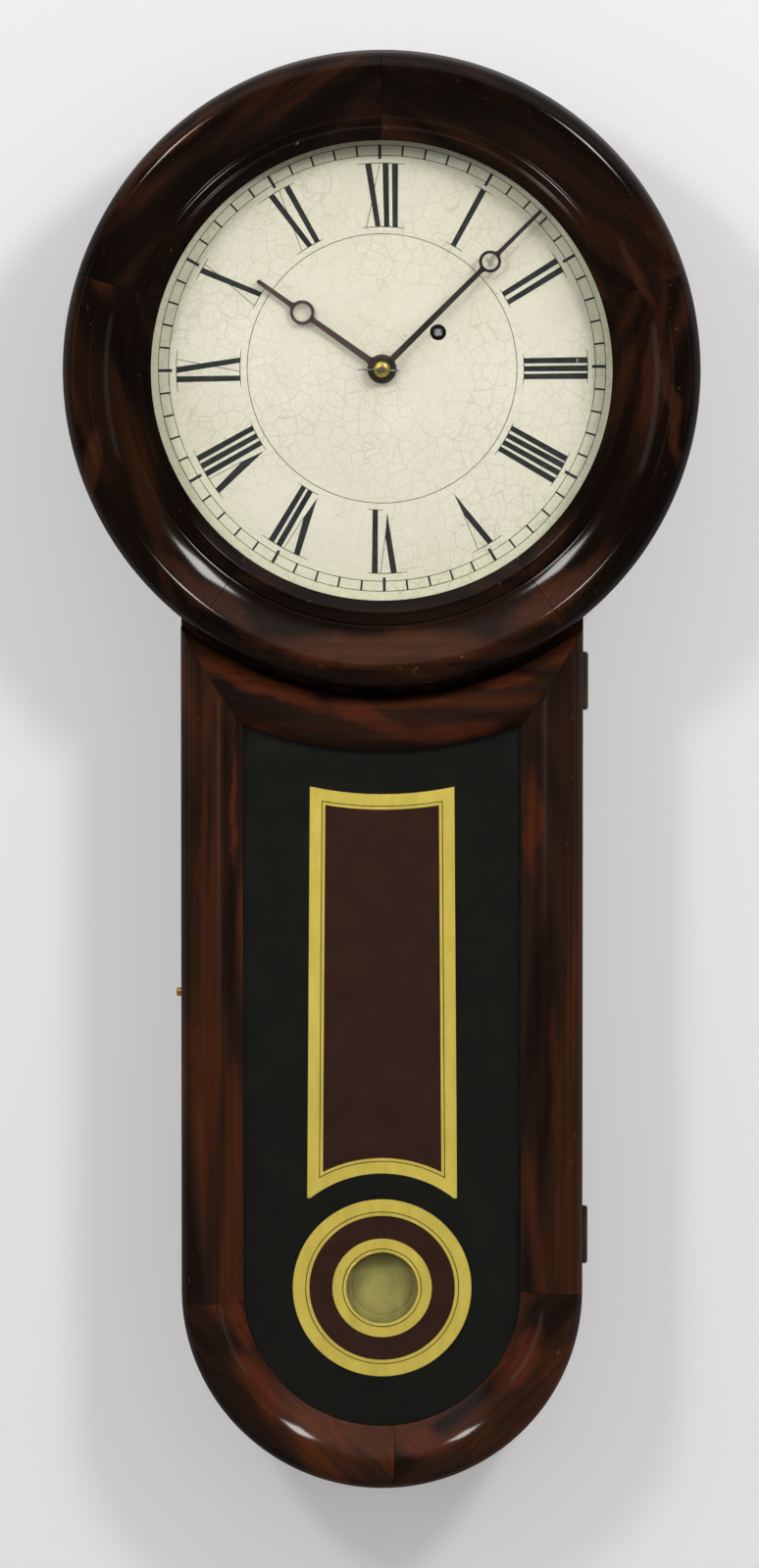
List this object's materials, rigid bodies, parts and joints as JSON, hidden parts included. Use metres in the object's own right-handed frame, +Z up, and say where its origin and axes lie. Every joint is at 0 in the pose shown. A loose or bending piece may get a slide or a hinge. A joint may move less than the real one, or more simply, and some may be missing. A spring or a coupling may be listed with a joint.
{
  "type": "regulator clock",
  "caption": "Round-headed wall regulator clock, dark polished wood, cream Roman dial, painted glass trunk door, weight-driven movement.",
  "frame": {"origin": "centre of the hanger hole, in the plane of the wall", "axes": "+Z up along the case, +Y into the wall, +X to the right seen from the front"},
  "size_m": [0.35, 0.118, 0.7963],
  "materials": {
    "rosewood": "glossy shellac over dark red-brown straight and streaked grain",
    "case_wood": "plain softwood, oil-darkened, unpolished",
    "brass": "lacquered and aged",
    "movement_brass": "polished, clear lacquer",
    "blued_steel": "heat-coloured, worn to brown",
    "steel": "hardened and polished",
    "glass": "clear",
    "black_paint": "reverse-painted oil paint, seen through glass",
    "gold_paint": "reverse-painted gold, seen through glass",
    "maroon_paint": "reverse-painted maroon, seen through glass",
    "dial_paint": "cream dial paint, finely crazed, satin",
    "putty": "whiting putty, dry",
    "cast_iron": "black japanned",
    "tin": "dull tinned sheet",
    "line": "hard-laid waxed line",
    "bob_brass": "polished sheet brass over a lead core",
    "stick_wood": "straight-grained, varnished"
  },
  "bodies": {
    "case": {"back_board": "case_wood", "head_drum": "rosewood", "trunk_sides": "rosewood", "throat_rail": "rosewood", "dial_board": "case_wood", "hanger_plate": "brass", "case_screws": "steel", "hinge_case_leaves": "brass", "hinge_pins": "steel", "catch_foot": "brass", "dial_pan": "dial_paint", "back_plate": "movement_brass", "front_plate": "movement_brass", "plate_pillars": "movement_brass", "plate_screws": "steel", "suspension_cock": "movement_brass", "weight_baffle": "tin", "weight_line": "line"},
    "trunk_door": {"trunk_door_frame": "rosewood", "trunk_door_glass": "glass", "tablet_black": "black_paint", "tablet_gold": "gold_paint", "tablet_maroon": "maroon_paint", "glass_strips": "case_wood", "trunk_hinge_leaves": "brass", "door_strike": "brass"},
    "bezel": {"bezel_ring": "rosewood", "bezel_glass": "glass", "bezel_putty": "putty", "bezel_stud": "brass", "bezel_hinge_leaf": "brass"},
    "button": {"latch_button": "brass"},
    "catch": {"catch_spring": "brass"},
    "minute_arbor": {"centre_arbor": "steel", "centre_wheel": "movement_brass", "cannon_pinion": "steel", "minute_hand": "blued_steel", "hand_collet": "brass", "hand_pin": "steel"},
    "hour_pipe": {"hour_wheel": "movement_brass", "hour_hand": "blued_steel"},
    "minute_wheel": {"minute_wheel": "movement_brass"},
    "great_wheel": {"great_wheel": "movement_brass", "click": "steel", "click_spring": "movement_brass"},
    "barrel": {"barrel": "movement_brass", "winding_arbor": "steel", "ratchet_wheel": "steel"},
    "third_arbor": {"third_wheel": "movement_brass"},
    "escape_arbor": {"escape_wheel": "movement_brass"},
    "verge": {"pallets": "steel", "crutch": "steel"},
    "pendulum": {"suspension_spring": "steel", "pendulum_rod": "stick_wood", "pendulum_bob": "bob_brass", "rating_nut": "movement_brass"},
    "weight": {"weight": "cast_iron", "weight_stirrup": "steel", "pulley_line": "line"},
    "pulley": {"weight_pulley": "movement_brass"}
  },
  "joints": [
    {"name": "bezel_hinge", "type": "hinge", "parent": "case", "child": "bezel", "pos_m": [0.1707, -0.0782, -0.13], "axis": [0, 0, 1], "range_deg": [0, 110]},
    {"name": "trunk_door_hinge", "type": "hinge", "parent": "case", "child": "trunk_door", "pos_m": [0.1114, -0.0782, -0.457], "axis": [0, 0, 1], "range_deg": [0, 110]},
    {"name": "latch_press", "type": "slide", "parent": "case", "child": "button", "axis": [1, 0, 0], "range_m": [0, 0.003], "stiffness_N_per_m": 300},
    {"name": "catch_flex", "type": "hinge", "parent": "case", "child": "catch", "pos_m": [-0.095, -0.062, -0.43], "axis": [0, 1, 0], "range_deg": [-4, 0]},
    {"name": "hands_turn", "type": "hinge", "parent": "case", "child": "minute_arbor", "pos_m": [0, -0.06, -0.13], "axis": [0, 1, 0], "continuous": true},
    {"name": "hour_turn", "type": "hinge", "parent": "case", "child": "hour_pipe", "pos_m": [0, -0.08, -0.13], "axis": [0, 1, 0], "continuous": true},
    {"name": "minute_wheel_turn", "type": "hinge", "parent": "case", "child": "minute_wheel", "pos_m": [-0.01581, -0.069, -0.13569], "axis": [0, 1, 0], "continuous": true},
    {"name": "great_wheel_turn", "type": "hinge", "parent": "case", "child": "great_wheel", "pos_m": [0.0308, -0.042, -0.1101], "axis": [0, 1, 0], "continuous": true},
    {"name": "third_turn", "type": "hinge", "parent": "case", "child": "third_arbor", "pos_m": [-0.01302, -0.034, -0.11227], "axis": [0, 1, 0], "continuous": true},
    {"name": "escape_turn", "type": "hinge", "parent": "case", "child": "escape_arbor", "pos_m": [-0.00902, -0.046, -0.09657], "axis": [0, 1, 0], "continuous": true},
    {"name": "pendulum_swing", "type": "hinge", "parent": "case", "child": "pendulum", "pos_m": [0, -0.06, -0.07895], "axis": [0, 1, 0], "range_deg": [-2.5, 2.5]},
    {"name": "verge_swing", "type": "hinge", "parent": "case", "child": "verge", "pos_m": [0, -0.046, -0.07895], "axis": [0, 1, 0], "range_deg": [-2.5, 2.5]},
    {"name": "weight_travel", "type": "slide", "parent": "case", "child": "weight", "axis": [0, 0, 1], "range_m": [0, 0.316], "deforming": ["weight_line"]},
    {"name": "barrel_turn", "type": "hinge", "parent": "case", "child": "barrel", "pos_m": [0.0308, -0.03, -0.1101], "axis": [0, 1, 0], "range_deg": [0, 4320]},
    {"name": "pulley_turn", "type": "hinge", "parent": "weight", "child": "pulley", "pos_m": [0, -0.03, -0.51], "axis": [0, 1, 0], "range_deg": [-810, 0]}
  ],
  "couplings": [
    {"joint": "catch_flex", "follows": "latch_press", "rad_per_m": -20.9},
    {"joint": "hour_turn", "follows": "hands_turn", "ratio": 0.083333},
    {"joint": "minute_wheel_turn", "follows": "hands_turn", "ratio": -0.33333},
    {"joint": "great_wheel_turn", "follows": "hands_turn", "ratio": -0.0625},
    {"joint": "third_turn", "follows": "hands_turn", "ratio": -10},
    {"joint": "escape_turn", "follows": "hands_turn", "ratio": 80},
    {"joint": "verge_swing", "follows": "pendulum_swing", "ratio": 1},
    {"joint": "barrel_turn", "follows": "weight_travel", "rad_per_m": 238.1},
    {"joint": "pulley_turn", "follows": "weight_travel", "rad_per_m": -44.643}
  ]
}
